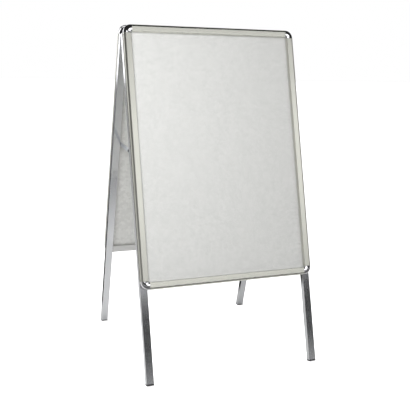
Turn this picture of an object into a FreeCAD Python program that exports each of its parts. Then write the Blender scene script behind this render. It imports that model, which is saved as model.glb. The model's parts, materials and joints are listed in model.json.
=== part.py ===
"""Double-sided snap-frame sandwich board (A-board) for A1 posters.

Two identical boards lean against each other under a hinge.  Each board is a
pair of rectangular tube legs with a snap frame riveted on their outer faces.

Row frame: millimetres, +Z up, origin on the floor midway between the feet.
The front board faces -Y, and X runs across the board.

Board frame, in which each board is built before it is tilted: x across,
s down the board from the hinge axis, n outwards from the hinge axis.
A point of the board frame is the vector (x, -n, -s).
"""
import FreeCAD, Part
import math
import os

from FreeCAD import Matrix, Placement, Rotation, Vector

# ---- driving dimensions: the stand ------------------------------------------
frame_width = 624.0          # snap frame outside size, for a 594 x 841 sheet
frame_height = 871.0
tilt = 15.0                  # degrees each board leans from vertical
frame_above_hinge = 32.0     # frame top edge above the hinge axis
leg_below_frame = 307.0      # leg length that shows under the frame
half_gap = 3.0               # hinge axis to the legs' inner faces

# ---- legs -------------------------------------------------------------------
leg_width = 25.0
leg_depth = 19.0
leg_wall = 1.5
leg_edge_radius = 1.0
leg_inset = 0.5              # leg side inside the frame's side
leg_top = -6.5               # where the tube starts, measured from the hinge axis
plug_flange = 5.0
plug_spigot = 22.0
plug_clearance = 0.1
cap_flange = 1.5
cap_rivet_gap = 2.0          # cap's spigot above the first hinge rivet's bulb
heel_cut = 1.0               # height taken off the foot's rear edge to stand flat

# ---- snap frame profile (u inwards from the frame's edge, v out from its back)
rail_face = 25.5
rail_height = 20.5
rail_wall = 1.3
lip_radius = 1.5
base_height = 8.6            # seat of the back panel
base_wall = 1.2
base_upstand = 1.8           # outer edge of the base profile, under the open rail
chamber_start = 8.0          # outside of the key chamber
bead_u = 5.4                 # hinge bead of the base profile
bead_drop = 1.0              # its centre below the panel seat
bead_radius = 1.6
claw_clearance = 0.08
claw_wall = 1.2
claw_from, claw_to = 70.0, 225.0   # degrees the rail's claw wraps round the bead
claw_joint_u = 3.05          # bead centre out to where the rail's rounded edge meets the claw
claw_joint_v = 0.75          # and down to it
lip_gap = 0.1                # rail lip above the cover sheet

# ---- corners ----------------------------------------------------------------
corner_radius = 26.5         # outside radius seen from the front
corner_arm = 29.0            # outside corner to the end of its straight stub
corner_wall = 1.5
corner_side_end = 215.0      # degrees, where the corner's rounded edge meets its upright side
corner_crown_radius = 33.0   # the chromed corner is slightly domed
corner_crown_end = 104.0     # degrees, where the dome meets the rounded edge
rail_end_gap = 0.4
key_arm = 62.0               # outside corner to the end of the corner key
key_clearance = 0.25

# ---- sheets -----------------------------------------------------------------
sheet_margin = 15.0          # frame edge to sheet edge
panel_thickness = 0.8
cover_thickness = 0.6

# ---- snap springs -----------------------------------------------------------
spring_pitch = 190.0
spring_width = 32.0
spring_thickness = 0.5
spring_foot = 4.0
spring_bend = 2.1
spring_blade = 2.3
spring_inset = 0.4           # key chamber's outside to the clip's bend

# ---- top hinge, on the legs' inner sides ------------------------------------
hinge_plate = 2.0
hinge_eye = 6.5              # plate radius round the pin
hinge_arm = 6.0              # plate radius round the rivets
hinge_rivet_s = (15.0, 40.0)
hinge_pin_radius = 3.0
layer_gap = 0.3              # between plates that turn on each other
running_clearance = 0.05     # pin in hole, radial
hinge_head = 2.0
hinge_head_radius = 5.5

# ---- folding stays ----------------------------------------------------------
stay_drop = 387.0            # hinge axis to the stay pivots, down the leg
stay_sag = 10.0              # centre joint below the line of the pivots
stay_width = 16.0
stay_plate = 2.0
stay_offset = 2.0            # front link stands off the leg by this collar
stay_pin_radius = 3.0
stay_collar_radius = 5.0
stay_head_radius = 5.5
stay_head = 1.5

# ---- rivets that hold the frame to the legs ---------------------------------
rivet_radius = 2.0
rivet_head_radius = 3.8
rivet_head = 1.2
rivet_head_round = 0.7
rivet_bulb_radius = 2.9
rivet_bulb = 2.0
frame_rivet_u = 16.0
frame_rivet_margin = 95.0
frame_rivets_per_leg = 4

cut_margin = 1.0             # how far a cutting block runs past what it cuts
tolerance = 1e-6

# ---- worked out -------------------------------------------------------------
leg_foot = frame_height - frame_above_hinge + leg_below_frame
frame_back = half_gap + leg_depth
tilt_rad = math.radians(tilt)
hinge_height = leg_foot * math.cos(tilt_rad) - half_gap * math.sin(tilt_rad) - heel_cut
leg_outer = frame_width / 2 - leg_inset
leg_inner = leg_outer - leg_width
leg_centre_n = half_gap + leg_depth / 2
cover_top = base_height + panel_thickness + cover_thickness
bead_v = base_height - bead_drop
# rounded outer edge of the rail: it touches the frame's side and the rail's top and ends at the claw
turn_in_u = bead_u - claw_joint_u
turn_in_v = bead_v - claw_joint_v
bullnose_rise = rail_height - turn_in_v
bullnose_radius = turn_in_u + bullnose_rise - math.sqrt(2 * turn_in_u * bullnose_rise)
bullnose_end = 180 + math.degrees(math.asin((bullnose_rise - bullnose_radius) / bullnose_radius))
stay_pivot_y = stay_drop * math.sin(tilt_rad) + leg_centre_n * math.cos(tilt_rad)
stay_pivot_z = hinge_height - stay_drop * math.cos(tilt_rad) + leg_centre_n * math.sin(tilt_rad)

FRONT = Placement(Vector(0, 0, hinge_height), Rotation(Vector(1, 0, 0), -tilt))
BACK = Placement(Vector(0, 0, 0), Rotation(Vector(0, 0, 1), 180)).multiply(FRONT)
BOARDS = {"front": FRONT, "back": BACK}


def local_side(board, side):
    """Sign of x in the board frame for the side that is left or right in the row frame."""
    sign = -1 if side == "left" else 1
    return sign if board == "front" else -sign


def polygon(points):
    return Part.makePolygon([Vector(x, y, 0) for x, y in points + points[:1]])


def arc(centre, radius, start, end):
    """Arc edge in the XY plane from start to end, in degrees."""
    def point(angle):
        angle = math.radians(angle)
        return Vector(centre[0] + radius * math.cos(angle), centre[1] + radius * math.sin(angle), 0)
    return Part.Arc(point(start), point((start + end) / 2), point(end)).toShape()


def outline(*steps):
    """Face inside a closed run of points and arcs; lines join what is not an arc."""
    edges, last, first = [], None, None
    for step in steps:
        start = step if isinstance(step, Vector) else step.firstVertex(True).Point
        end = step if isinstance(step, Vector) else step.lastVertex(True).Point
        if first is None:
            first = start
        if last is not None and last.distanceToPoint(start) > tolerance:
            edges.append(Part.makeLine(last, start))
        if not isinstance(step, Vector):
            edges.append(step)
        last = end
    edges.append(Part.makeLine(last, first))
    return Part.Face(Part.Wire(edges))


def at(u, v):
    return Vector(u, v, 0)


def frame_of(origin, x_axis, y_axis):
    """Placement whose x and y axes are the given ones."""
    z_axis = x_axis.cross(y_axis)
    return Placement(Matrix(
        x_axis.x, y_axis.x, z_axis.x, origin.x,
        x_axis.y, y_axis.y, z_axis.y, origin.y,
        x_axis.z, y_axis.z, z_axis.z, origin.z,
        0, 0, 0, 1))


def moved(shape, placement):
    result = shape.copy()
    result.Placement = placement.multiply(result.Placement)
    return result


OUT = Vector(0, -1, 0)
DOWN = Vector(0, 0, -1)
UP = Vector(0, 0, 1)
RIGHT = Vector(1, 0, 0)
LEFT = Vector(-1, 0, 0)
frame_top_s = -frame_above_hinge
frame_bottom_s = frame_height - frame_above_hinge
frame_middle_s = (frame_top_s + frame_bottom_s) / 2

# edge name: middle of the outer edge, direction inwards, length of the edge
EDGES = {
    "top": (Vector(0, -frame_back, -frame_top_s), DOWN, frame_width),
    "bottom": (Vector(0, -frame_back, -frame_bottom_s), UP, frame_width),
    "low_x": (Vector(-frame_width / 2, -frame_back, -frame_middle_s), RIGHT, frame_height),
    "high_x": (Vector(frame_width / 2, -frame_back, -frame_middle_s), LEFT, frame_height),
}
# corner name: outside corner, direction of p, direction of q (p x q is outwards)
CORNERS = {
    "top_low_x": (Vector(-frame_width / 2, -frame_back, -frame_top_s), DOWN, RIGHT),
    "top_high_x": (Vector(frame_width / 2, -frame_back, -frame_top_s), LEFT, DOWN),
    "bottom_high_x": (Vector(frame_width / 2, -frame_back, -frame_bottom_s), UP, LEFT),
    "bottom_low_x": (Vector(-frame_width / 2, -frame_back, -frame_bottom_s), RIGHT, UP),
}


def edge_placement(edge):
    origin, inwards, _ = EDGES[edge]
    return frame_of(origin, inwards, OUT)


# ---- snap frame profiles ----------------------------------------------------
def base_bar(length):
    """Fixed base profile: key chamber, panel seat, hinge bead and outer upstand."""
    seat = base_height - base_wall
    body = Part.Face(polygon([
        (0, 0), (rail_face, 0), (rail_face, base_height), (bead_u, base_height),
        (bead_u, seat), (chamber_start, seat), (chamber_start, base_wall),
        (base_wall, base_wall), (base_wall, base_upstand), (0, base_upstand)]))
    chamber = Part.Face(polygon([
        (chamber_start + base_wall, base_wall), (rail_face - base_wall, base_wall),
        (rail_face - base_wall, seat), (chamber_start + base_wall, seat)]))
    along = Vector(0, 0, length)
    bead = Part.makeCylinder(bead_radius, length, at(bead_u, bead_v))
    bar = body.cut(chamber).extrude(along).fuse(bead).removeSplitter()
    bar.translate(Vector(0, 0, -length / 2))
    return bar


def crown(inset, end):
    """Rounded cap line of the profile, from the lip tip over and round the outer edge."""
    return [
        at(rail_face - inset, cover_top + lip_gap),
        arc((rail_face - lip_radius, rail_height - lip_radius), lip_radius - inset, 0, 90),
        arc((bullnose_radius, rail_height - bullnose_radius), bullnose_radius - inset, 90, end)]


def reversed_line(line):
    flipped = []
    for step in reversed(line):
        if isinstance(step, Vector):
            flipped.append(step)
        else:
            first, last = step.firstVertex(True).Point, step.lastVertex(True).Point
            middle = step.valueAt((step.FirstParameter + step.LastParameter) / 2)
            flipped.append(Part.Arc(last, middle, first).toShape())
    return flipped


def snap_bar(length):
    """Snap rail: rounded cap with a lip on the cover sheet and a claw round the bead."""
    shell = outline(*crown(0, bullnose_end), *reversed_line(crown(rail_wall, bullnose_end)))
    inner = bead_radius + claw_clearance
    outer = inner + claw_wall
    start = arc((bead_u, bead_v), outer, claw_from, claw_to)
    claw = outline(start, arc((bead_u, bead_v), inner, claw_to, claw_from))
    along = Vector(0, 0, length)
    bar = shell.extrude(along).fuse(claw.extrude(along)).removeSplitter()
    bar.translate(Vector(0, 0, -length / 2))
    return bar


def swept_corner(section, arm):
    """Section turned a quarter round the inside of the corner, with straight stubs."""
    turn_centre = Vector(corner_radius, corner_radius, 0)
    upright = frame_of(Vector(0, corner_radius, 0), Vector(1, 0, 0), Vector(0, 0, 1))
    face = moved(section, upright)
    bend = face.revolve(turn_centre, Vector(0, 0, 1), 90)
    stub_length = arm - corner_radius
    stub_q = face.extrude(Vector(0, stub_length, 0))
    turned = face.copy()
    turned.rotate(turn_centre, Vector(0, 0, 1), 90)
    stub_p = turned.extrude(Vector(stub_length, 0, 0))
    return bend.fuse([stub_q, stub_p]).removeSplitter()


def domed_crown(inset, end):
    """Cap line of the corner: a shallow dome that runs smoothly into the rounded outer edge."""
    bullnose = at(bullnose_radius, rail_height - bullnose_radius)
    turn = math.radians(corner_crown_end)
    centre = bullnose - at(math.cos(turn), math.sin(turn)) * (corner_crown_radius - bullnose_radius)
    lip_u = rail_face - inset
    start = math.degrees(math.acos((lip_u - centre.x) / (corner_crown_radius - inset)))
    return [
        at(lip_u, cover_top + lip_gap),
        arc(centre, corner_crown_radius - inset, start, corner_crown_end),
        arc(bullnose, bullnose_radius - inset, corner_crown_end, end)]


def corner_section():
    """C section of the corner: domed cap outside, floor under the key, open to the sheets."""
    side_u = bullnose_radius * (1 + math.cos(math.radians(corner_side_end)))
    inner_u = side_u + corner_wall
    inner_end = 360 - math.degrees(math.acos((inner_u - bullnose_radius) / (bullnose_radius - corner_wall)))
    return outline(*domed_crown(0, corner_side_end), at(side_u, 0), at(rail_face, 0), at(rail_face, base_wall),
                   at(inner_u, base_wall), *reversed_line(domed_crown(corner_wall, inner_end)))


def corner_cap():
    """Chromed quarter-round corner that the straight rails butt against."""
    return swept_corner(corner_section(), corner_arm)


def corner_key():
    """Cast key inside the base profiles' chambers that joins two of them."""
    low_u = chamber_start + base_wall + key_clearance
    high_u = rail_face - base_wall - key_clearance
    low_v = base_wall + key_clearance
    high_v = base_height - base_wall - key_clearance
    section = Part.Face(polygon([(low_u, low_v), (high_u, low_v), (high_u, high_v), (low_u, high_v)]))
    return swept_corner(section, key_arm)


def spring_clip():
    """Bent strip on the base profile that presses the rail's claw shut."""
    low = base_height
    bend_u = chamber_start + spring_bend + spring_inset
    half = spring_thickness
    foot_end = bend_u + spring_foot
    blade_top = low + spring_bend + spring_blade
    outer = spring_bend
    inner = spring_bend - half
    centre = (bend_u, low + spring_bend)
    face = outline(
        at(foot_end, low), arc(centre, outer, 270, 180), at(bend_u - outer, blade_top),
        at(bend_u - inner, blade_top), arc(centre, inner, 180, 270), at(foot_end, low + half))
    clip = face.extrude(Vector(0, 0, spring_width))
    clip.translate(Vector(0, 0, -spring_width / 2))
    return clip


def spring_set():
    clips = []
    for edge, (_, _, length) in EDGES.items():
        rail = length - 2 * (corner_arm + rail_end_gap)
        count = max(2, round(rail / spring_pitch))
        for index in range(count):
            along = (index + 0.5) * rail / count - rail / 2
            clip = spring_clip()
            clip.translate(Vector(0, 0, along))
            clips.append(moved(clip, edge_placement(edge)))
    return Part.makeCompound(clips)


def sheet(lower, thickness):
    """Flat sheet inside the frame, its back face this far out from the frame's back."""
    width = frame_width - 2 * sheet_margin
    height = frame_height - 2 * sheet_margin
    return Part.makeBox(width, thickness, height, Vector(
        -width / 2, -(frame_back + lower + thickness), -(frame_bottom_s - sheet_margin)))


# ---- legs -------------------------------------------------------------------
def leg_block(sign, start_s, end_s, inset):
    """Solid block inside the leg's outline, inset all round."""
    low_x = min(sign * leg_outer, sign * leg_inner) + inset
    return Part.makeBox(leg_width - 2 * inset, leg_depth - 2 * inset, end_s - start_s,
                        Vector(low_x, -(frame_back - inset), -end_s))


def round_long_edges(block, radius):
    edges = [edge for edge in block.Edges
             if abs(edge.tangentAt(edge.FirstParameter).z) > 1 - tolerance]
    return block.makeFillet(radius, edges)


def frame_rivet_places(sign):
    """Points on the frame's back where a leg is riveted to the side profile."""
    first = frame_top_s + frame_rivet_margin
    step = (frame_height - 2 * frame_rivet_margin) / (frame_rivets_per_leg - 1)
    x = sign * (frame_width / 2 - frame_rivet_u)
    return [Vector(x, -frame_back, -(first + index * step)) for index in range(frame_rivets_per_leg)]


def side_holes(sign):
    """Holes in the leg's inner wall: two for the hinge plate, one for the stay."""
    places = [(s, rivet_radius) for s in hinge_rivet_s] + [(stay_drop, stay_pin_radius)]
    start = Vector(sign * (leg_inner + leg_wall), 0, 0)
    return [Part.makeCylinder(radius, leg_wall, start + Vector(0, -leg_centre_n, -s), Vector(-sign, 0, 0))
            for s, radius in places]


def leg(sign):
    """Rectangular tube leg."""
    end = leg_foot - plug_flange
    tube = round_long_edges(leg_block(sign, leg_top, end, 0), leg_edge_radius)
    tube = tube.cut(leg_block(sign, leg_top - cut_margin, end + cut_margin, leg_wall))
    front_holes = [Part.makeCylinder(rivet_radius, leg_wall, place, -OUT)
                   for place in frame_rivet_places(sign)]
    return tube.cut(front_holes + side_holes(sign))


def foot_plug(sign):
    """Plastic plug in the leg's lower end."""
    end = leg_foot - plug_flange
    flange = round_long_edges(leg_block(sign, end, leg_foot, 0), leg_edge_radius)
    spigot = leg_block(sign, end - plug_spigot, end, leg_wall + plug_clearance)
    return flange.fuse(spigot).removeSplitter()


def leg_cap(sign):
    """Plastic plug in the leg's upper end."""
    flange = round_long_edges(leg_block(sign, leg_top - cap_flange, leg_top, 0), leg_edge_radius)
    depth = min(hinge_rivet_s) - rivet_bulb_radius - cap_rivet_gap
    spigot = leg_block(sign, leg_top, depth, leg_wall + plug_clearance)
    return flange.fuse(spigot).removeSplitter()


def on_floor(shape):
    """Cut off what is below the floor, so the foot stands on a flat heel."""
    box = shape.BoundBox
    depth = cut_margin - box.ZMin
    below = Part.makeBox(box.XLength + 2 * cut_margin, box.YLength + 2 * cut_margin, depth,
                         Vector(box.XMin - cut_margin, box.YMin - cut_margin, -depth))
    return shape.cut(below)


# ---- rivets -----------------------------------------------------------------
def rivet(grip, bulb_depth):
    """Blind rivet on +Z: its head stands on z = 0, its bulb is below the grip."""
    head = Part.makeCylinder(rivet_head_radius, rivet_head)
    head = head.makeFillet(rivet_head_round, [edge for edge in head.Edges if edge.Closed
                                              and abs(edge.BoundBox.Center.z - rivet_head) < tolerance])
    shank = Part.makeCylinder(rivet_radius, grip, Vector(0, 0, -grip))
    bulb = Part.makeCylinder(rivet_bulb_radius, bulb_depth, Vector(0, 0, -grip - bulb_depth))
    return head.fuse([shank, bulb]).removeSplitter()


def towards(origin, direction):
    """Placement that stands a piece built on +Z along this direction."""
    return Placement(origin, Rotation(Vector(0, 0, 1), direction))


def rivet_set(hinge_offset):
    """All rivets of one board: frame to legs, and hinge plates to legs."""
    rivets = []
    for sign in (-1, 1):
        for place in frame_rivet_places(sign):
            seat = place + OUT * base_wall
            rivets.append(moved(rivet(base_wall + leg_wall, rivet_bulb), towards(seat, OUT)))
        plate_face = leg_inner - hinge_offset - hinge_plate
        for s in hinge_rivet_s:
            seat = Vector(sign * plate_face, -leg_centre_n, -s)
            grip = hinge_offset + hinge_plate + leg_wall
            rivets.append(moved(rivet(grip, rivet_bulb), towards(seat, Vector(-sign, 0, 0))))
    return Part.makeCompound(rivets)


# ---- straps: flat bars with round ends in planes across X --------------------
def strap(sign, start, end, radius, offset, thickness):
    """Bar from start to end, given as (y, z), at this distance inside the leg's inner side."""
    near = sign * (leg_inner - offset)
    first = Vector(near, start[0], start[1])
    last = Vector(near, end[0], end[1])
    inwards = Vector(-sign, 0, 0)
    eyes = [Part.makeCylinder(radius, thickness, centre, inwards) for centre in (first, last)]
    along = last - first
    across = along.cross(inwards)
    across.multiply(radius / across.Length)
    corners = [first + across, last + across, last - across, first - across, first + across]
    web = Part.Face(Part.makePolygon(corners)).extrude(inwards * thickness)
    return web.fuse(eyes).removeSplitter()


def strap_hole(sign, centre, radius, offset, thickness):
    start = Vector(sign * (leg_inner - offset), centre[0], centre[1])
    return Part.makeCylinder(radius, thickness, start, Vector(-sign, 0, 0))


# ---- top hinge --------------------------------------------------------------
def hinge_leaf(sign, offset, pin_clearance):
    """Cranked plate riveted to the leg's inner side, with an eye on the hinge axis."""
    upper, lower = [(-leg_centre_n, -s) for s in hinge_rivet_s]
    plate = strap(sign, (0, 0), upper, hinge_eye, offset, hinge_plate)
    plate = plate.fuse(strap(sign, upper, lower, hinge_arm, offset, hinge_plate))
    if offset > 0:
        plate = plate.fuse(strap(sign, upper, lower, hinge_arm, 0, offset))
    through = offset + hinge_plate
    holes = [strap_hole(sign, place, rivet_radius, 0, through) for place in (upper, lower)]
    holes.append(strap_hole(sign, (0, 0), hinge_pin_radius + pin_clearance, offset, hinge_plate))
    return plate.cut(holes).removeSplitter()


def hinge_pin(sign):
    """Stud fixed in the front leaf, with its head inside the back leaf."""
    shank = 2 * hinge_plate + 2 * layer_gap
    pin = strap_hole(sign, (0, 0), hinge_pin_radius, 0, shank)
    head = strap_hole(sign, (0, 0), hinge_head_radius, shank, hinge_head)
    return pin.fuse(head).removeSplitter()


# ---- folding stays (row frame) ----------------------------------------------
STAY_END = {"front": (-stay_pivot_y, stay_pivot_z), "back": (stay_pivot_y, stay_pivot_z)}
STAY_OFFSET = {"front": stay_offset, "back": stay_offset + stay_plate + 2 * layer_gap}
STAY_KNUCKLE = (0.0, stay_pivot_z - stay_sag)


def stay_link(board, sign):
    """One half of a folding stay, in its own plane."""
    offset = STAY_OFFSET[board] + running_clearance
    bar = strap(sign, STAY_END[board], STAY_KNUCKLE, stay_width / 2, offset, stay_plate)
    holes = [
        strap_hole(sign, STAY_END[board], stay_pin_radius + running_clearance, offset, stay_plate),
        strap_hole(sign, STAY_KNUCKLE, stay_pin_radius, offset, stay_plate)]
    return bar.cut(holes)


def stay_pivot(board, sign):
    """Shoulder rivet that holds the stay to the leg: bulb, collar, journal and head."""
    centre = STAY_END[board]
    collar_length = STAY_OFFSET[board]
    journal = stay_plate + 2 * running_clearance
    bulb = strap_hole(sign, centre, stay_collar_radius, -leg_wall - stay_head, stay_head)
    shank = strap_hole(sign, centre, stay_pin_radius, -leg_wall, leg_wall + collar_length + journal)
    collar = strap_hole(sign, centre, stay_collar_radius, 0, collar_length)
    head = strap_hole(sign, centre, stay_head_radius, collar_length + journal, stay_head)
    return shank.fuse([bulb, collar, head]).removeSplitter()


def knuckle_rivet(board, sign):
    """Half of the stay's centre joint: a head outside its own link and a stub in the link."""
    offset = STAY_OFFSET[board] + running_clearance
    stub = strap_hole(sign, STAY_KNUCKLE, stay_pin_radius, offset, stay_plate)
    head_offset = offset - stay_head if board == "front" else offset + stay_plate
    head = strap_hole(sign, STAY_KNUCKLE, stay_collar_radius, head_offset, stay_head)
    return stub.fuse(head).removeSplitter()


# ---- assembly ---------------------------------------------------------------
def board_pieces(board):
    """Every piece of one board, in the row frame."""
    place = BOARDS[board]
    hinge_offset = 0.0 if board == "front" else hinge_plate + layer_gap
    pin_clearance = 0.0 if board == "front" else running_clearance
    edge_names = {"top": "top", "bottom": "bottom"}
    for side in ("left", "right"):
        edge_names["low_x" if local_side(board, side) < 0 else "high_x"] = side

    pieces = {}
    for edge, name in edge_names.items():
        length = EDGES[edge][2]
        base = moved(base_bar(length - 2 * corner_arm), edge_placement(edge))
        if name in ("left", "right"):
            sign = local_side(board, name)
            base = base.cut([Part.makeCylinder(rivet_radius, base_wall, hole, OUT)
                             for hole in frame_rivet_places(sign)])
        pieces["base_" + name] = base
        rail_length = length - 2 * (corner_arm + rail_end_gap)
        pieces["snap_rail_" + name] = moved(snap_bar(rail_length), edge_placement(edge))

    keys = []
    for corner, (origin, p_axis, q_axis) in CORNERS.items():
        level, _, edge = corner.partition("_")
        spot = frame_of(origin, p_axis, q_axis)
        pieces["corner_" + level + "_" + edge_names[edge]] = moved(corner_cap(), spot)
        keys.append(moved(corner_key(), spot))
    pieces["corner_keys"] = Part.makeCompound(keys)
    pieces["snap_springs"] = spring_set()
    pieces["back_panel"] = sheet(base_height, panel_thickness)
    pieces["cover_sheet"] = sheet(base_height + panel_thickness, cover_thickness)
    pieces["rivets"] = rivet_set(hinge_offset)
    pieces["leg_caps"] = Part.makeCompound([leg_cap(-1), leg_cap(1)])
    for side in ("left", "right"):
        sign = local_side(board, side)
        pieces["leg_" + side] = leg(sign)
        pieces["foot_" + side] = foot_plug(sign)
        pieces["hinge_leaf_" + side] = hinge_leaf(sign, hinge_offset, pin_clearance)
    placed = {}
    for name, shape in pieces.items():
        placed[board + "_" + name] = moved(shape, place)
        if name.startswith("foot"):
            placed[board + "_" + name] = on_floor(placed[board + "_" + name])
    return placed


def shared_pieces():
    """Hinge pins and folding stays."""
    pieces = {"hinge_pins": moved(Part.makeCompound([hinge_pin(-1), hinge_pin(1)]), FRONT)}
    for board in ("front", "back"):
        pieces[board + "_stay_pivots"] = Part.makeCompound([stay_pivot(board, sign) for sign in (-1, 1)])
        for side, sign in (("left", -1), ("right", 1)):
            pieces[board + "_stay_link_" + side] = stay_link(board, sign)
            pieces[board + "_stay_rivet_" + side] = knuckle_rivet(board, sign)
    return pieces


def build():
    pieces = {}
    for board in BOARDS:
        pieces.update(board_pieces(board))
    pieces.update(shared_pieces())
    return pieces


os.makedirs("parts", exist_ok=True)
MODEL = build()
for node, solid in MODEL.items():
    solid.exportStep("parts/" + node + ".step")
print(len(MODEL), "pieces, hinge axis", round(hinge_height, 2), "mm above the floor")
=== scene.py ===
"""Looks of the double-sided snap-frame sandwich board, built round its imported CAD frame.

Metres, +Z up, the front board faces -Y.  The profiles, corners, back panels, legs, plugs,
leaves and stays keep their CAD meshes and get procedural materials.  The clear cover sheets,
the blind rivets and the spring clips are made here and stand in for their CAD nodes.
"""
import json
import math
from collections import namedtuple

import bmesh
import bpy
from mathutils import Matrix, Vector

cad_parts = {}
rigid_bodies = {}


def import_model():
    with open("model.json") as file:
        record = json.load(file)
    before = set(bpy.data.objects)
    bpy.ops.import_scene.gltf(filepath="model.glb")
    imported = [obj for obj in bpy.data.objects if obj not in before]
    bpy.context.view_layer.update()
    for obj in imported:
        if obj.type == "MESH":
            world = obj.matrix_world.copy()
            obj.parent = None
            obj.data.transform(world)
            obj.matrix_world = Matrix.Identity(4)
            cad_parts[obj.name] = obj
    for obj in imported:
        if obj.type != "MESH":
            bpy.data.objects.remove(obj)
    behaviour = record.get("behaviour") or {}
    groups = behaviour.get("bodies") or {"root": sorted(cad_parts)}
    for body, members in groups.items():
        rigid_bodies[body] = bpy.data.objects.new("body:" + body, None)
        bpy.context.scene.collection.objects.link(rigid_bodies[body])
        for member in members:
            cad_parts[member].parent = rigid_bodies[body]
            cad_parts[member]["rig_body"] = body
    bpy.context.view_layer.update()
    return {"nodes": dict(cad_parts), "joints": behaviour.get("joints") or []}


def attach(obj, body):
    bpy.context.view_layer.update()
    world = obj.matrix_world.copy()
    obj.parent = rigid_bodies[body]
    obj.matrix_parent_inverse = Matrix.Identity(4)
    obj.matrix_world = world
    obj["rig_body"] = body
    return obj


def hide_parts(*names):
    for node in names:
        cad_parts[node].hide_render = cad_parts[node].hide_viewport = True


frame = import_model()
nodes = frame["nodes"]
joints = {joint["name"]: joint for joint in frame["joints"]}

# ---- the two boards ---------------------------------------------------------
BOARD_TILT = math.radians(15.0)            # lean of each board when it stands open
BOARDS = {"front": -1.0, "back": 1.0}      # sign of the outward Y direction
SIDES = ("left", "right")
hinge_height = joints["board_hinge"]["pos_m"][2]


def board_turn(board):
    """Rotation about X that lays a vertical pattern along a board's leaning direction."""
    return -BOARDS[board] * BOARD_TILT


# ---- node tree helpers ------------------------------------------------------
class Tree:
    """Adds nodes to a tree and links them by socket name."""

    def __init__(self, tree):
        self.tree = tree

    def add(self, kind, **values):
        node = self.tree.nodes.new(kind)
        for name, value in values.items():
            setattr(node, name, value)
        return node

    def link(self, source, target):
        self.tree.links.new(source, target)

    def feed(self, node, **inputs):
        """Sets inputs by name (underscores are spaces): a socket is linked, a value is set."""
        for name, value in inputs.items():
            self.put(node.inputs[name.replace("_", " ")], value)
        return node

    def put(self, socket, value):
        if isinstance(value, bpy.types.NodeSocket):
            self.link(value, socket)
        else:
            socket.default_value = value

    def math(self, operation, first, second=0.0):
        node = self.add("ShaderNodeMath", operation=operation)
        self.put(node.inputs[0], first)
        self.put(node.inputs[1], second)
        return node.outputs[0]

    def ramp(self, value, *stops):
        """Grey or colour ramp with stops of (place, colour or grey)."""
        node = self.add("ShaderNodeValToRGB")
        elements = node.color_ramp.elements
        while len(elements) < len(stops):
            elements.new(0.5)
        for element, (place, colour) in zip(elements, stops):
            element.position = place
            grey = isinstance(colour, (int, float))
            element.color = (colour, colour, colour, 1.0) if grey else (*colour, 1.0)
        self.put(node.inputs["Fac"], value)
        return node.outputs["Color"]

    def mix(self, factor, first, second):
        """Colour between two colours; the colour sockets of a Mix node are 6, 7 and output 2."""
        node = self.add("ShaderNodeMix", data_type="RGBA")
        for index, value in ((0, factor), (6, first), (7, second)):
            if isinstance(value, tuple):
                value = (*value, 1.0)
            self.put(node.inputs[index], value)
        return node.outputs[2]

    def curve(self, value, levels):
        """Value from 0 to 1 taken through equally spaced levels, with straight stretches."""
        node = self.add("ShaderNodeFloatCurve")
        points = node.mapping.curves[0].points
        last = len(levels) - 1
        points[0].location = (0.0, levels[0])
        points[1].location = (1.0, levels[last])
        for index in range(1, last):
            points.new(index / last, levels[index])
        for point in points:
            point.handle_type = "VECTOR"
        node.mapping.update()
        self.put(node.inputs["Value"], value)
        return node.outputs[0]

    def noise(self, vector, scale, detail=4.0, roughness=0.5):
        node = self.add("ShaderNodeTexNoise")
        self.feed(node, Vector=vector, Scale=scale, Detail=detail, Roughness=roughness)
        return node.outputs["Fac"]


def group(name, inputs, outputs, tree_kind="ShaderNodeTree"):
    """Empty node group with the given sockets, as (name, kind, default) and (name, kind)."""
    tree = bpy.data.node_groups.new(name, tree_kind)
    for label, kind, default in inputs:
        socket = tree.interface.new_socket(label, in_out="INPUT", socket_type=kind)
        if default is not None:
            socket.default_value = default
    for label, kind in outputs:
        tree.interface.new_socket(label, in_out="OUTPUT", socket_type=kind)
    given = tree.nodes.new("NodeGroupInput").outputs
    out = tree.nodes.new("NodeGroupOutput").inputs
    return Tree(tree), given, out


FLOAT, VECTOR, GEOMETRY = "NodeSocketFloat", "NodeSocketVector", "NodeSocketGeometry"


def make_drawn_lines():
    """Fine die lines that run along an extruded or drawn metal bar, with soft handling marks."""
    t, given, out = group(
        "drawn_lines",
        [("Vector", VECTOR, None), ("Across", FLOAT, 2200.0), ("Along", FLOAT, 6.0),
         ("Marks", FLOAT, 0.3)],
        [("Lines", FLOAT), ("Smudge", FLOAT)])
    scale = t.add("ShaderNodeCombineXYZ")
    t.feed(scale, X=given["Across"], Y=given["Across"], Z=given["Along"])
    stretched = t.add("ShaderNodeVectorMath", operation="MULTIPLY")
    t.put(stretched.inputs[0], given["Vector"])
    t.put(stretched.inputs[1], scale.outputs[0])
    fine = t.noise(stretched.outputs[0], scale=1.0, detail=3.0, roughness=0.6)
    smudge = t.noise(given["Vector"], scale=14.0, detail=5.0, roughness=0.65)
    spread = t.math("MULTIPLY", t.math("SUBTRACT", smudge, 0.5), given["Marks"])
    t.put(out["Lines"], fine)
    t.put(out["Smudge"], t.math("ADD", spread, 0.5))
    return t.tree


SPANGLE_WARP = 0.012              # how far the crystals' edges wander
FEATHER_SHARE = 0.25              # part of a crystal's tone that comes from its feathering
FEATHER_HEIGHT = 0.4              # height of the feathering beside the crystals' own


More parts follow.
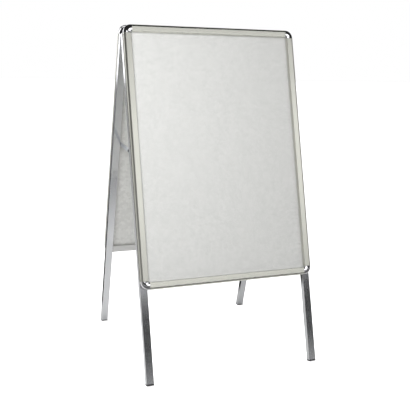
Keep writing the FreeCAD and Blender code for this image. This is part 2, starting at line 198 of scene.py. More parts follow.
def make_spangle():
    """Zinc crystals of a galvanised sheet: patches that differ a little in tone and height."""
    t, given, out = group(
        "zinc_spangle",
        [("Vector", VECTOR, None), ("Size", FLOAT, 0.012), ("Contrast", FLOAT, 0.5)],
        [("Tone", FLOAT), ("Height", FLOAT)])
    warp = t.add("ShaderNodeTexNoise")
    t.feed(warp, Vector=given["Vector"], Scale=60.0, Detail=3.0)
    bent = t.add("ShaderNodeVectorMath", operation="MULTIPLY_ADD")
    t.put(bent.inputs[0], warp.outputs["Color"])
    bent.inputs[1].default_value = (SPANGLE_WARP, SPANGLE_WARP, SPANGLE_WARP)
    t.put(bent.inputs[2], given["Vector"])
    inverse = t.math("DIVIDE", 1.0, given["Size"])
    cells = t.add("ShaderNodeTexVoronoi", feature="F1")
    t.feed(cells, Vector=bent.outputs[0], Scale=inverse)
    crystal = t.add("ShaderNodeSeparateColor")
    t.link(cells.outputs["Color"], crystal.inputs[0])
    crystal_tone, crystal_height = crystal.outputs[0], crystal.outputs[1]
    feather = t.noise(bent.outputs[0], scale=420.0, roughness=0.7)
    tone = t.math("ADD", t.math("MULTIPLY", crystal_tone, 1.0 - FEATHER_SHARE),
                  t.math("MULTIPLY", feather, FEATHER_SHARE))
    spread = t.math("MULTIPLY", t.math("SUBTRACT", tone, 0.5), given["Contrast"])
    t.put(out["Tone"], t.math("ADD", spread, 0.5))
    t.put(out["Height"], t.math("ADD", crystal_height, t.math("MULTIPLY", feather, FEATHER_HEIGHT)))
    return t.tree


DRAWN_LINES = make_drawn_lines()
SPANGLE = make_spangle()


def material(name):
    """New node material, its tree helper, its Principled BSDF and its object coordinates."""
    made = bpy.data.materials.new(name)
    made.use_nodes = True
    t = Tree(made.node_tree)
    shader = made.node_tree.nodes["Principled BSDF"]
    place = t.add("ShaderNodeTexCoord").outputs["Object"]
    return made, t, shader, place


def bump(t, height, strength, distance):
    node = t.add("ShaderNodeBump")
    t.feed(node, Height=height, Strength=strength, Distance=distance)
    return node.outputs["Normal"]


def along_board(t, place, turn, lies_across):
    """Object coordinates turned so that Z runs along the bar."""
    rotation = (0.0, math.pi / 2, 0.0) if lies_across else (turn, 0.0, 0.0)
    return t.feed(t.add("ShaderNodeMapping"), Vector=place, Rotation=rotation).outputs[0]


def dimmed(tint, share):
    return tuple(share * channel for channel in tint)


# tint on and between the die lines, least and most roughness, how far handling marks spread,
# and how strongly the lines stand out
BarFinish = namedtuple("BarFinish", "tint dark rough marks line_depth")
# The side and cross rails are one anodised profile: the cross rails' lighter tint is painted light.
SIDE_RAIL = BarFinish((0.85, 0.85, 0.775), (0.76, 0.76, 0.69), (0.30, 0.40), 0.5, 0.10)
CROSS_RAIL = BarFinish((0.91, 0.91, 0.83), (0.84, 0.84, 0.765), (0.22, 0.30), 0.5, 0.04)
BASE_PROFILE = BarFinish((0.80, 0.80, 0.79), (0.70, 0.70, 0.69), (0.30, 0.40), 0.5, 0.10)
DRAWN_LEG = BarFinish((0.84, 0.85, 0.87), (0.72, 0.73, 0.76), (0.09, 0.16), 0.6, 0.08)


def bar_metal(name, turn, lies_across, finish):
    """Aluminium bar whose die lines run along it."""
    made, t, shader, place = material(name)
    lines = t.add("ShaderNodeGroup", node_tree=DRAWN_LINES)
    t.feed(lines, Vector=along_board(t, place, turn, lies_across), Marks=finish.marks)
    tone = t.mix(lines.outputs["Lines"], finish.dark, finish.tint)
    worn = t.mix(lines.outputs["Smudge"], dimmed(finish.tint, 0.93), finish.tint)
    smooth, matt = finish.rough
    rough = t.math("ADD", t.math("MULTIPLY", lines.outputs["Smudge"], matt - smooth), smooth)
    t.feed(shader, Base_Color=t.mix(0.5, tone, worn), Roughness=rough, Metallic=1.0,
           Normal=bump(t, lines.outputs["Lines"], finish.line_depth, distance=0.0002))
    return made


def chrome(name):
    """Polished chrome, a little hazy."""
    made, t, shader, place = material(name)
    haze = t.noise(place, scale=90.0)
    rough = t.ramp(haze, (0.35, 0.03), (0.75, 0.09))
    ripple = t.noise(place, scale=260.0, detail=2.0)
    t.feed(shader, Base_Color=(0.90, 0.90, 0.92, 1), Metallic=1.0, Roughness=rough,
           Normal=bump(t, ripple, strength=0.05, distance=0.0005))
    return made


def galvanised(name):
    """Hot-dip galvanised sheet: spangled zinc, half matt."""
    made, t, shader, place = material(name)
    spangle = t.add("ShaderNodeGroup", node_tree=SPANGLE)
    t.feed(spangle, Vector=place, Size=0.010, Contrast=0.55)
    tone = spangle.outputs["Tone"]
    rough = t.math("ADD", t.math("MULTIPLY", tone, 0.16), 0.40)
    metal = t.math("ADD", t.math("MULTIPLY", tone, 0.2), 0.15)
    t.feed(shader, Base_Color=t.mix(tone, (0.68, 0.68, 0.655), (0.94, 0.94, 0.915)),
           Metallic=metal, Roughness=rough,
           Normal=bump(t, spangle.outputs["Height"], strength=0.18, distance=0.0006))
    return made


def clear_sheet(name):
    """Matt clear plastic, slightly wavy."""
    made, t, shader, place = material(name)
    wave = t.noise(place, scale=3.5, detail=3.0)
    haze = t.noise(place, scale=38.0, detail=5.0, roughness=0.6)
    rough = t.ramp(haze, (0.3, 0.20), (0.8, 0.30))
    t.feed(shader, Base_Color=(0.93, 0.935, 0.93, 1), Roughness=rough, Alpha=0.20, IOR=1.5,
           Normal=bump(t, wave, strength=0.12, distance=0.01))
    return made


def moulded_black(name):
    """Black plastic with a fine mould grain, greyed where it is scuffed."""
    made, t, shader, place = material(name)
    grain = t.noise(place, scale=900.0, detail=3.0, roughness=0.6)
    scuff = t.noise(place, scale=60.0, detail=6.0, roughness=0.7)
    scuffed = t.ramp(scuff, (0.55, 0.0), (0.75, 1.0))
    t.feed(shader, Base_Color=t.mix(scuffed, (0.022, 0.022, 0.024), (0.07, 0.07, 0.07)),
           Roughness=t.ramp(scuff, (0.3, 0.42), (0.8, 0.62)),
           Normal=bump(t, grain, strength=0.25, distance=0.0002))
    return made


def plated_steel(name, tint, rough, metal=1.0):
    """Small metal part: clouded tint, with roughness from rough to rough + 0.14."""
    made, t, shader, place = material(name)
    cloud = t.noise(place, scale=120.0, detail=5.0, roughness=0.6)
    fine = t.noise(place, scale=1800.0, detail=2.0)
    t.feed(shader, Base_Color=t.mix(cloud, dimmed(tint, 0.82), tint), Metallic=metal,
           Roughness=t.ramp(cloud, (0.3, rough), (0.75, rough + 0.14)),
           Normal=bump(t, fine, strength=0.12, distance=0.0001))
    return made


# ---- materials for the CAD nodes --------------------------------------------
def give(node_name, made):
    """Finish for a CAD node that is shown as it is."""
    slots = nodes[node_name].material_slots
    if not slots:
        nodes[node_name].data.materials.append(made)
    for slot in slots:
        slot.material = made


CHROME = chrome("polished_chrome_corner")
ZINC_SHEET = galvanised("galvanised_back_panel")
COVER = clear_sheet("clear_cover_sheet")
BLACK_PLASTIC = moulded_black("moulded_black_plug")
BRIGHT_ZINC = plated_steel("bright_zinc_steel", (0.84, 0.87, 0.90), 0.30, 0.6)
RIVET_STEEL = plated_steel("plated_rivet_steel", (0.66, 0.66, 0.68), 0.28)
SPRING_STEEL = plated_steel("oiled_spring_steel", (0.34, 0.34, 0.36), 0.30)
# near-black steel on the stay rivets only, far darker than the other rivets and pivots; it darkens
# the stays' ends
DARK_STEEL = plated_steel("near_black_pivot_steel", (0.14, 0.14, 0.15), 0.34)
CAST_ALUMINIUM = plated_steel("cast_key_aluminium", (0.60, 0.60, 0.60), 0.45)

for board in BOARDS:
    turn = board_turn(board)
    rail_along = bar_metal(board + "_side_rail_anodised", turn, False, SIDE_RAIL)
    rail_across = bar_metal(board + "_cross_rail_anodised", turn, True, CROSS_RAIL)
    base_along = bar_metal(board + "_side_base_anodised", turn, False, BASE_PROFILE)
    base_across = bar_metal(board + "_cross_base_anodised", turn, True, BASE_PROFILE)
    leg_metal = bar_metal(board + "_leg_drawn", turn, False, DRAWN_LEG)
    for level in ("top", "bottom"):
        give(board + "_snap_rail_" + level, rail_across)
        give(board + "_base_" + level, base_across)
        for side in SIDES:
            give(board + "_corner_" + level + "_" + side, CHROME)
    for side in SIDES:
        give(board + "_snap_rail_" + side, rail_along)
        give(board + "_base_" + side, base_along)
        give(board + "_leg_" + side, leg_metal)
        give(board + "_foot_" + side, BLACK_PLASTIC)
        give(board + "_hinge_leaf_" + side, BRIGHT_ZINC)
        give(board + "_stay_link_" + side, BRIGHT_ZINC)
        give(board + "_stay_rivet_" + side, DARK_STEEL)
    give(board + "_leg_caps", BLACK_PLASTIC)
    give(board + "_corner_keys", CAST_ALUMINIUM)
    give(board + "_stay_pivots", RIVET_STEEL)
    give(board + "_back_panel", ZINC_SHEET)
give("hinge_pins", RIVET_STEEL)


# ---- rivets and spring clips, made by geometry nodes ------------------------
# (radius, height) pairs from 0 to 1, from the top's centre round to the bottom's
PAN_HEAD = [(0.0, 0.35), (0.24, 0.35), (0.28, 0.92), (0.36, 1.0), (0.62, 0.93),
            (0.84, 0.72), (0.96, 0.42), (1.0, 0.12), (0.98, 0.0), (0.0, 0.0)]
UPSET_BULB = [(0.0, 1.0), (0.70, 1.0), (0.93, 0.86), (1.0, 0.55), (0.92, 0.22),
              (0.66, 0.03), (0.45, 0.0), (0.40, 0.12), (0.0, 0.12)]
TURNED_SIDES = 28
HEAD_HEIGHT, BULB_DEPTH = 0.0012, 0.0020
HINGE_RIVET_REACH = 0.06          # hinge rivets sit within this drop of the hinge pins
CLIP_THICKNESS = 0.0005
CLIP_BEND = 0.0021                # radius between the clip's blade and its foot
CLIP_BEND_STEPS = 4
FINGER_COLUMNS = 24               # faces across a clip's width
FINGER_PITCH = 6.0                # faces to a finger and its slot, which is the last of them
SLOT_DEPTH = 0.25                 # share of the grid's length that is slit
SHARP_EDGE = math.radians(40.0)   # edges that turn more than this aren't shaded smooth
# how near points are to be made one: on a shape of unit size, on a clip, on a CAD mesh
UNIT_WELD, CLIP_WELD, CAD_WELD = 0.0001, 0.00001, 0.000001


def outlined_grid(t, pairs, steps):
    """Grid with a row to each pair: its mesh, how far a point is along its row, and two levels.

    The levels run through the pairs' first and second numbers as the rows go.
    """
    grid = t.add("GeometryNodeMeshGrid")
    t.feed(grid, Vertices_X=len(pairs), Vertices_Y=steps + 1)
    place = t.add("ShaderNodeSeparateXYZ")
    t.link(grid.outputs["UV Map"], place.inputs[0])
    row, along = place.outputs[0], place.outputs[1]
    first, second = [t.curve(row, list(levels)) for levels in zip(*pairs)]
    return grid.outputs["Mesh"], row, along, first, second


def moved_to(t, mesh, spot):
    node = t.feed(t.add("GeometryNodeSetPosition"), Geometry=mesh, Position=spot.outputs[0])
    return node.outputs[0]


def merged(t, mesh, distance):
    node = t.feed(t.add("GeometryNodeMergeByDistance"), Geometry=mesh, Distance=distance)
    return node.outputs[0]


def turned(t, profile):
    """Closed shape turned about Z from (radius, height) pairs between 0 and 1."""
    mesh, _, along, radius, height = outlined_grid(t, profile, TURNED_SIDES)
    angle = t.math("MULTIPLY", along, math.tau)
    spot = t.add("ShaderNodeCombineXYZ")
    t.feed(spot, X=t.math("MULTIPLY", radius, t.math("COSINE", angle)),
           Y=t.math("MULTIPLY", radius, t.math("SINE", angle)), Z=height)
    return merged(t, moved_to(t, mesh, spot), UNIT_WELD)


def sized(t, geometry, radius, height, lift):
    """Turned shape brought to its radius and height, and moved along Z."""
    scale = t.feed(t.add("ShaderNodeCombineXYZ"), X=radius, Y=radius, Z=height)
    shift = t.feed(t.add("ShaderNodeCombineXYZ"), Z=lift)
    node = t.add("GeometryNodeTransform")
    t.feed(node, Geometry=geometry, Translation=shift.outputs[0], Scale=scale.outputs[0])
    return node.outputs[0]


def on_points(t, points, shape, turn, finish):
    """One shape on each point, made real and given its finish."""
    placed = t.add("GeometryNodeInstanceOnPoints")
    t.feed(placed, Points=points, Instance=shape, Rotation=turn)
    real = t.feed(t.add("GeometryNodeRealizeInstances"), Geometry=placed.outputs[0])
    painted = t.add("GeometryNodeSetMaterial")
    return t.feed(painted, Geometry=real.outputs[0], Material=finish).outputs[0]


def towards(t, attribute, axis, turn=None, pivot="AUTO"):
    """Rotation that lays an axis along a named direction of each point."""
    direction = t.add("GeometryNodeInputNamedAttribute", data_type="FLOAT_VECTOR")
    t.feed(direction, Name=attribute)
    node = t.add("FunctionNodeAlignRotationToVector", axis=axis, pivot_axis=pivot)
    t.feed(node, Vector=direction.outputs[0])
    if turn is not None:
        t.feed(node, Rotation=turn)
    return node.outputs[0]


def make_rivet_tree():
    """Blind rivets: pan head with the mandrel's dimple, shank and upset bulb."""
    t, given, out = group(
        "blind_rivets",
        [("Geometry", GEOMETRY, None), ("Head Radius", FLOAT, 0.0038),
         ("Head Height", FLOAT, HEAD_HEIGHT), ("Shank Radius", FLOAT, 0.0020),
         ("Grip", FLOAT, 0.0030), ("Bulb Radius", FLOAT, 0.0029), ("Bulb Depth", FLOAT, BULB_DEPTH)],
        [("Geometry", GEOMETRY)], "GeometryNodeTree")
    head = sized(t, turned(t, PAN_HEAD), given["Head Radius"], given["Head Height"], 0.0)
    grip = given["Grip"]
    cylinder = t.add("GeometryNodeMeshCylinder")
    t.feed(cylinder, Vertices=TURNED_SIDES, Radius=given["Shank Radius"], Depth=grip)
    shank = sized(t, cylinder.outputs["Mesh"], 1.0, 1.0, t.math("MULTIPLY", grip, -0.5))
    tail = t.math("MULTIPLY", t.math("ADD", grip, given["Bulb Depth"]), -1.0)
    bulb = sized(t, turned(t, UPSET_BULB), given["Bulb Radius"], given["Bulb Depth"], tail)
    whole = t.add("GeometryNodeJoinGeometry")
    for shape in (head, shank, bulb):
        t.link(shape, whole.inputs[0])
    t.put(out["Geometry"], on_points(t, given["Geometry"], whole.outputs[0],
                                     towards(t, "facing", "Z"), RIVET_STEEL))
    return t.tree


def clip_outline(depth, height):
    """(depth, height) pairs from 0 to 1 down a clip's blade, round its bend and along its foot."""
    turns = [math.pi / 2 * step / CLIP_BEND_STEPS for step in range(CLIP_BEND_STEPS + 1)]
    bend = [(CLIP_BEND * (1 - math.cos(turn)), CLIP_BEND * (1 - math.sin(turn))) for turn in turns]
    blade = [(0.0, height), (0.0, (height + CLIP_BEND) / 2)]
    foot = [((depth + CLIP_BEND) / 2, 0.0), (depth, 0.0)]
    return [(u / depth, v / height) for u, v in blade + bend + foot]


def make_clip_tree(depth, height):
    """Spring clips: bent strip whose blade is slit into fingers."""
    t, given, out = group(
        "spring_clips",
        [("Geometry", GEOMETRY, None), ("Depth", FLOAT, depth), ("Height", FLOAT, height),
         ("Width", FLOAT, 0.032), ("Thickness", FLOAT, CLIP_THICKNESS)],
        [("Geometry", GEOMETRY)], "GeometryNodeTree")
    mesh, row, along, inwards, upwards = outlined_grid(t, clip_outline(depth, height), FINGER_COLUMNS)
    spot = t.add("ShaderNodeCombineXYZ")
    t.feed(spot, X=t.math("MULTIPLY", inwards, given["Depth"]),
           Y=t.math("MULTIPLY", t.math("SUBTRACT", along, 0.5), given["Width"]),
           Z=t.math("MULTIPLY", upwards, given["Height"]))
    column = t.math("FLOOR", t.math("MULTIPLY", along, FINGER_COLUMNS))
    slot_column = t.math("COMPARE", t.math("MODULO", column, FINGER_PITCH), FINGER_PITCH - 1.0)
    t.put(slot_column.node.inputs[2], 0.1)      # how near counts as the same column
    near_edge = t.math("LESS_THAN", row, SLOT_DEPTH)
    slit = t.add("GeometryNodeDeleteGeometry", domain="FACE")
    t.feed(slit, Geometry=mesh, Selection=t.math("MULTIPLY", slot_column, near_edge))
    strip = moved_to(t, slit.outputs[0], spot)
    raised = t.add("GeometryNodeExtrudeMesh", mode="FACES")
    t.feed(raised, Mesh=strip, Offset_Scale=given["Thickness"], Individual=False)
    under = t.feed(t.add("GeometryNodeFlipFaces"), Mesh=strip)
    both = t.add("GeometryNodeJoinGeometry")
    t.link(raised.outputs[0], both.inputs[0])
    t.link(under.outputs[0], both.inputs[0])
    turn = towards(t, "inwards", "X", towards(t, "facing", "Z"), "Z")
    closed = merged(t, both.outputs[0], CLIP_WELD)
    t.put(out["Geometry"], on_points(t, given["Geometry"], closed, turn, SPRING_STEEL))
    return t.tree


def separate_solids(node_name):
    """Points of each solid in a grouped CAD node, in a fixed order."""
    mesh = bmesh.new()
    mesh.from_mesh(nodes[node_name].data)
    bmesh.ops.remove_doubles(mesh, verts=mesh.verts, dist=CAD_WELD)
    seen, solids = set(), []
    for start in mesh.verts:
        if start in seen:
            continue
        seen.add(start)
        waiting, found = [start], []
        while waiting:
            vertex = waiting.pop()
            found.append(vertex.co.copy())
            for edge in vertex.link_edges:
                other = edge.other_vert(vertex)
                if other not in seen:
                    seen.add(other)
                    waiting.append(other)
        solids.append(found)
    mesh.free()
    return solids


def outward(board):
    """Direction square to the board's face."""
    return Vector((0.0, BOARDS[board] * math.cos(BOARD_TILT), math.sin(BOARD_TILT)))


def downward(board):
    """Direction down the leaning board."""
    return Vector((0.0, BOARDS[board] * math.sin(BOARD_TILT), -math.cos(BOARD_TILT)))


RIGHT = Vector((1.0, 0.0, 0.0))


def span(points, axis):
    """Least and greatest distance of points along an axis."""
    along = [point.dot(axis) for point in points]
    return min(along), max(along)


def middle(points, axis):
    """Part of a solid's middle that lies along an axis."""
    return axis * (sum(span(points, axis)) / 2)


def grown(tree, name, points, directions, sizes):
    """Plain mesh that a tree makes on points that carry named directions."""
    seed = bpy.data.meshes.new(name + "_points")
    seed.from_pydata(points, [], [])
    for label, vectors in directions.items():
        attribute = seed.attributes.new(label, "FLOAT_VECTOR", "POINT")
        for entry, vector in zip(attribute.data, vectors):
            entry.vector = vector
    holder = bpy.data.objects.new(name + "_holder", seed)
    modifier = holder.modifiers.new(name, "NODES")
    modifier.node_group = tree
    for item in tree.interface.items_tree:
        if item.name in sizes:
            modifier[item.identifier] = sizes[item.name]
    bpy.context.scene.collection.objects.link(holder)
    bpy.context.view_layer.update()
    evaluated = holder.evaluated_get(bpy.context.evaluated_depsgraph_get())
    made = bpy.data.meshes.new_from_object(evaluated)
    bpy.data.objects.remove(holder)
    return made


def stand_in(name, node_name, meshes, finish):
    """One piece from several meshes, which takes a CAD node's place on its body."""
    joined = bmesh.new()
    for mesh in meshes:
        joined.from_mesh(mesh)
    data = bpy.data.meshes.new(name)
    joined.to_mesh(data)
    joined.free()
    data.materials.clear()
    data.materials.append(finish)
    data.shade_smooth()
    data.set_sharp_from_angle(angle=SHARP_EDGE)
    piece = bpy.data.objects.new(name, data)
    bpy.context.scene.collection.objects.link(piece)
    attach(piece, nodes[node_name]["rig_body"])
    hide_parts(node_name)


def make_rivets(board, tree):
    """The board's blind rivets: heads outwards on the frame, and inwards on the hinge leaves."""
    out, down = outward(board), downward(board)
    kinds = {"frame": [], "hinge": []}
    for solid in separate_solids(board + "_rivets"):
        centre = middle(solid, RIGHT) + middle(solid, out) + middle(solid, down)
        if centre.z > hinge_height - HINGE_RIVET_REACH:
            kinds["hinge"].append((solid, RIGHT * -math.copysign(1.0, centre.x), (out, down)))
        else:
            kinds["frame"].append((solid, out, (RIGHT, down)))
    meshes = []
    for kind, rivets in kinds.items():
        seats = []
        for solid, axis, across in rivets:
            bottom, top = span(solid, axis)
            seats.append(axis * (top - HEAD_HEIGHT)
                         + middle(solid, across[0]) + middle(solid, across[1]))
        facing = [axis for _, axis, _ in rivets]
        meshes.append(grown(tree, board + "_" + kind, seats, {"facing": facing},
                            {"Grip": top - bottom - HEAD_HEIGHT - BULB_DEPTH}))
    stand_in(board + "_blind_rivets", board + "_rivets", meshes, RIVET_STEEL)


def clip_places(board):
    """(corner point, outwards, inwards, size) of each spring clip, read from the CAD node."""
    out, down = outward(board), downward(board)
    solids = separate_solids(board + "_snap_springs")
    board_middle = sum(span([point for solid in solids for point in solid], down)) / 2
    for solid in solids:
        low, high = span(solid, RIGHT)
        if high - low > 4 * CLIP_BEND:      # too long for a clip's depth, so it is its width
            along = RIGHT
            inwards = down if sum(span(solid, down)) / 2 < board_middle else -down
        else:
            along = down
            inwards = RIGHT if low + high < 0 else -RIGHT
        (near, far), (base, top), (start, end) = [span(solid, axis) for axis in (inwards, out, along)]
        corner = inwards * near + out * base + middle(solid, along)
        yield corner, out, inwards, (far - near, top - base, end - start)


def make_clips(board):
    """The board's spring clips, all of one size, under its snap rails."""
    corners, facing, inwards, sizes = zip(*clip_places(board))
    depth, height, width = sizes[0]
    mesh = grown(make_clip_tree(depth, height), board + "_clips", corners,
                 {"facing": facing, "inwards": inwards},
                 {"Depth": depth, "Height": height, "Width": width})
    stand_in(board + "_spring_clips", board + "_snap_springs", [mesh], SPRING_STEEL)


COVER_COLUMNS, COVER_ROWS = 24, 34
COVER_SHEET = 0.0003              # thickness; the rest of the CAD sheet's room is air behind it
COVER_RIPPLE = 0.0002             # how far the ripple sinks below the CAD sheet's face


def cover_ripple(u, v):
    """Depth of the ripple from 0 to 1 at a place given from 0 to 1 across and down the sheet."""
    return 0.5 - 0.5 * math.sin(math.pi * (3 * u + v)) * math.sin(math.pi * (4 * v - u))


def make_cover(board):
    """Clear cover sheet, gently rippled, that stands just clear of the panel behind it."""
    node_name = board + "_cover_sheet"
    corners = [vertex.co for vertex in nodes[node_name].data.vertices]
    out, down = outward(board), downward(board)
    (low, high), (top, bottom), (_, face) = [span(corners, axis) for axis in (RIGHT, down, out)]
    sheet = bmesh.new()

    def layer(depth):
        """Rows of vertices at a depth behind the rippled front."""
        rows = []
        for row in range(COVER_ROWS + 1):
            v = row / COVER_ROWS
            rows.append([])
            for column in range(COVER_COLUMNS + 1):
                u = column / COVER_COLUMNS
                rows[row].append(sheet.verts.new(
                    RIGHT * (low + u * (high - low)) + down * (top + v * (bottom - top))
                    + out * (face - COVER_RIPPLE * cover_ripple(u, v) - depth)))
        return rows

    front, back = layer(0.0), layer(COVER_SHEET)
    for rows in (front, back):
        for row in range(COVER_ROWS):
            for column in range(COVER_COLUMNS):
                sheet.faces.new((rows[row][column], rows[row + 1][column],
                                 rows[row + 1][column + 1], rows[row][column + 1]))
    for index in range(COVER_ROWS):
        for side in (0, COVER_COLUMNS):
            sheet.faces.new((front[index][side], back[index][side],
                             back[index + 1][side], front[index + 1][side]))
    for index in range(COVER_COLUMNS):
        for end in (0, COVER_ROWS):
            sheet.faces.new((front[end][index], back[end][index],
                             back[end][index + 1], front[end][index + 1]))
    bmesh.ops.recalc_face_normals(sheet, faces=sheet.faces)
    mesh = bpy.data.meshes.new(board + "_cover")
    sheet.to_mesh(mesh)
    sheet.free()
    stand_in(board + "_clear_cover", node_name, [mesh], COVER)


RIVET_TREE = make_rivet_tree()
for board in BOARDS:
    make_cover(board)
    make_rivets(board, RIVET_TREE)
    make_clips(board)


# ---- floor, light and camera ------------------------------------------------
FLOOR_HALF = 30.0
# what the floor throws back on the board, with painted dark patches for reflections in its metal; the
# camera sees it plain white
FLOOR_NEAR_PAINTED_DARK = (0.12, 0.12, 0.12)           # painted dark patch in front of the board, for dark reflections in the legs
FLOOR_UNDER = (0.77, 0.77, 0.765)         # plain floor tone under the board and behind it
FLOOR_PAINTED_BLACK_PATCH = (0.03, 0.03, 0.03)           # painted black patch on the floor behind the board, for a dark reflection down the back board's left side
FLOOR_GLOW = 0.45                         # keeps shadows out of the white
DARK_PATCH_EDGE = (-0.8, -0.2)                 # Y range in which the painted dark patch gives way to the plain floor tone
BLACK_PATCH_START = (0.45, 0.55)                 # Y range in which the painted black patch begins
BLACK_PATCH_SIDE = (-0.34, -0.28)                # range of X plus the slant times Y in which the painted black patch begins
BLACK_PATCH_SLANT = 0.27

# brightness of each patch of the room that the metal reflects
SOFTBOX = 1.65                            # in front, on the right
WALL = 1.6                                # narrow, behind, on the left
BACK = 0.20                               # all behind, up to halfway
LEFT = 0.20                               # on the left and in front of it
HORIZON = 0.42                            # all round, up to just over the horizon
REAR = 1.1                                # behind, in the middle and on the right
ROOM = 0.02                               # everything else

# name, strength, spread in degrees, place it shines from
SUNS = [("overhead", 0.36, 150.0, (0.0, -0.6, 4.0)),
        ("key", 0.47, 70.0, (1.1, -2.2, 1.6)),
        ("back_fill", 1.9, 120.0, (-1.0, 2.4, 1.8))]
SUN_AIM = (0.0, 0.0, 0.5)
NEAR_FILL_PLACE, NEAR_FILL_AIM = (-0.9, -1.3, 1.45), (-0.1, -0.1, 0.8)
NEAR_FILL_SIZE, NEAR_FILL_WATTS = 0.9, 20.5

CAMERA_PLACE = (-0.9332, -2.3221, 1.0367)
CAMERA_YAW, CAMERA_PITCH, CAMERA_ROLL = [math.radians(angle) for angle in (21.97, -11.69, 1.33)]
CAMERA_LENS, SENSOR_WIDTH = 61.63, 36.0   # millimetres


def make_floor():
    """Wide floor, white to the camera, with painted dark patches that the board reflects."""
    half = FLOOR_HALF
    mesh = bpy.data.meshes.new("floor")
    mesh.from_pydata([(-half, -half, 0), (half, -half, 0), (half, half, 0), (-half, half, 0)],
                     [], [(0, 1, 2, 3)])
    floor = bpy.data.objects.new("floor", mesh)
    bpy.context.scene.collection.objects.link(floor)
    made, t, shader, place = material("pale_floor")
    seen = t.add("ShaderNodeLightPath").outputs["Is Camera Ray"]
    axes = t.add("ShaderNodeSeparateXYZ")
    t.link(place, axes.inputs[0])
    across, depth, _ = axes.outputs

    def step(value, edge):
        """0 before the edge's range and 1 past it."""
        node = t.add("ShaderNodeMapRange")
        return t.feed(node, Value=value, From_Min=edge[0], From_Max=edge[1]).outputs["Result"]

    # painted reflections: the camera sees the floor white, while the board reflects a dark patch in
    # front and a black patch behind
    beyond = t.ramp(depth, (BLACK_PATCH_START[0], 0.0), (BLACK_PATCH_START[1], 1.0))
    slanted = t.math("ADD", across, t.math("MULTIPLY", depth, BLACK_PATCH_SLANT))
    black_patch = t.math("MULTIPLY", beyond, step(slanted, BLACK_PATCH_SIDE))
    tone = t.mix(black_patch, t.mix(step(depth, DARK_PATCH_EDGE), FLOOR_NEAR_PAINTED_DARK, FLOOR_UNDER), FLOOR_PAINTED_BLACK_PATCH)
    t.feed(shader, Base_Color=t.mix(seen, tone, (1.6, 1.6, 1.6)), Roughness=0.9,
           Specular_IOR_Level=0.0, Emission_Color=t.mix(seen, (0.0, 0.0, 0.0), (1.0, 1.0, 1.0)),
           Emission_Strength=FLOOR_GLOW)
    mesh.materials.append(made)


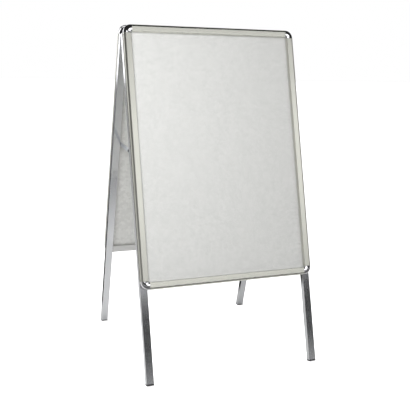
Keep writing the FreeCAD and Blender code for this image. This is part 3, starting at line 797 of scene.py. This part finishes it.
def make_world():
    """Dim studio with soft bright patches, white to the camera."""
    world = bpy.data.worlds.new("studio")
    bpy.context.scene.world = world
    world.use_nodes = True
    t = Tree(world.node_tree)
    background = world.node_tree.nodes["Background"]
    axes = t.add("ShaderNodeSeparateXYZ")
    t.link(t.add("ShaderNodeTexCoord").outputs["Generated"], axes.inputs[0])
    across, depth, height = axes.outputs

    def band(value, *stops):
        """Smooth steps of a direction component, given from -1 to 1."""
        return t.ramp(t.math("ADD", t.math("MULTIPLY", value, 0.5), 0.5),
                      *[(0.5 + 0.5 * place, level) for place, level in stops])

    def product(*values):
        result = values[0]
        for value in values[1:]:
            result = t.math("MULTIPLY", result, value)
        return result

    slanted = t.math("ADD", height, t.math("MULTIPLY", across, 0.25))
    softbox = product(band(across, (-0.06, 0.0), (0.02, 1.0), (0.60, 1.0), (0.92, 0.0)),
                      band(depth, (-0.25, 1.0), (0.0, 0.0)),
                      band(height, (0.190, 0.0), (0.200, 1.0)),
                      band(slanted, (0.560, 1.0), (0.578, 0.0)))
    wall = product(band(across, (-0.80, 0.0), (-0.70, 1.0), (-0.26, 1.0), (-0.235, 0.0)),
                   band(depth, (0.50, 0.0), (0.60, 1.0)), band(height, (0.45, 1.0), (0.60, 0.0)))
    back = product(band(depth, (0.0, 0.0), (0.30, 1.0)), band(height, (0.45, 1.0), (0.60, 0.0)))
    left = product(band(across, (-0.55, 1.0), (-0.30, 0.0)), band(depth, (0.20, 1.0), (0.40, 0.0)),
                   band(height, (0.30, 1.0), (0.40, 0.0)))
    horizon = band(height, (0.040, 1.0), (0.080, 0.0))
    rear = product(band(across, (-0.20, 0.0), (-0.10, 1.0)), band(depth, (0.50, 0.0), (0.60, 1.0)),
                   band(height, (0.05, 0.0), (0.10, 1.0), (0.60, 1.0), (0.75, 0.0)))
    light = ROOM
    for patch, brightness in ((softbox, SOFTBOX), (wall, WALL), (back, BACK), (left, LEFT),
                              (horizon, HORIZON), (rear, REAR)):
        light = t.math("ADD", light, product(patch, brightness))
    seen = t.add("ShaderNodeLightPath").outputs["Is Camera Ray"]
    t.feed(background, Color=t.mix(seen, light, (1.0, 1.0, 1.0)), Strength=1.0)


def add_lamp(name, data, place, aim):
    """Lamp that lights matt surfaces and stays out of reflections."""
    lamp = bpy.data.objects.new(name, data)
    turn = (Vector(aim) - Vector(place)).to_track_quat("-Z", "Y")
    lamp.matrix_world = Matrix.Translation(place) @ turn.to_matrix().to_4x4()
    lamp.visible_glossy = False
    bpy.context.scene.collection.objects.link(lamp)


def make_lamps():
    """Three wide suns, and a disk near the board's left side."""
    for name, strength, spread, place in SUNS:
        sun = bpy.data.lights.new(name, "SUN")
        sun.energy = strength
        sun.angle = math.radians(spread)
        add_lamp(name, sun, place, SUN_AIM)
    near = bpy.data.lights.new("near_fill", "AREA")
    near.shape = "DISK"
    near.size = NEAR_FILL_SIZE
    near.energy = NEAR_FILL_WATTS
    add_lamp("near_fill", near, NEAR_FILL_PLACE, NEAR_FILL_AIM)


def make_camera():
    """Camera in front and to the left, a little under the board's top edge."""
    place = Vector(CAMERA_PLACE)
    yaw, pitch, roll = CAMERA_YAW, CAMERA_PITCH, CAMERA_ROLL
    forward = Vector((math.sin(yaw) * math.cos(pitch), math.cos(yaw) * math.cos(pitch),
                      math.sin(pitch)))
    level = Vector((math.cos(yaw), -math.sin(yaw), 0.0))
    upright = level.cross(forward)
    right = level * math.cos(roll) + upright * math.sin(roll)
    up = upright * math.cos(roll) - level * math.sin(roll)
    data = bpy.data.cameras.new("camera")
    data.sensor_width = SENSOR_WIDTH
    data.lens = CAMERA_LENS
    camera = bpy.data.objects.new("camera", data)
    camera.matrix_world = Matrix((
        (right.x, up.x, -forward.x, place.x),
        (right.y, up.y, -forward.y, place.y),
        (right.z, up.z, -forward.z, place.z),
        (0, 0, 0, 1)))
    bpy.context.scene.collection.objects.link(camera)
    bpy.context.scene.camera = camera


make_floor()
make_world()
make_lamps()
make_camera()
bpy.context.scene.view_settings.view_transform = "Standard"
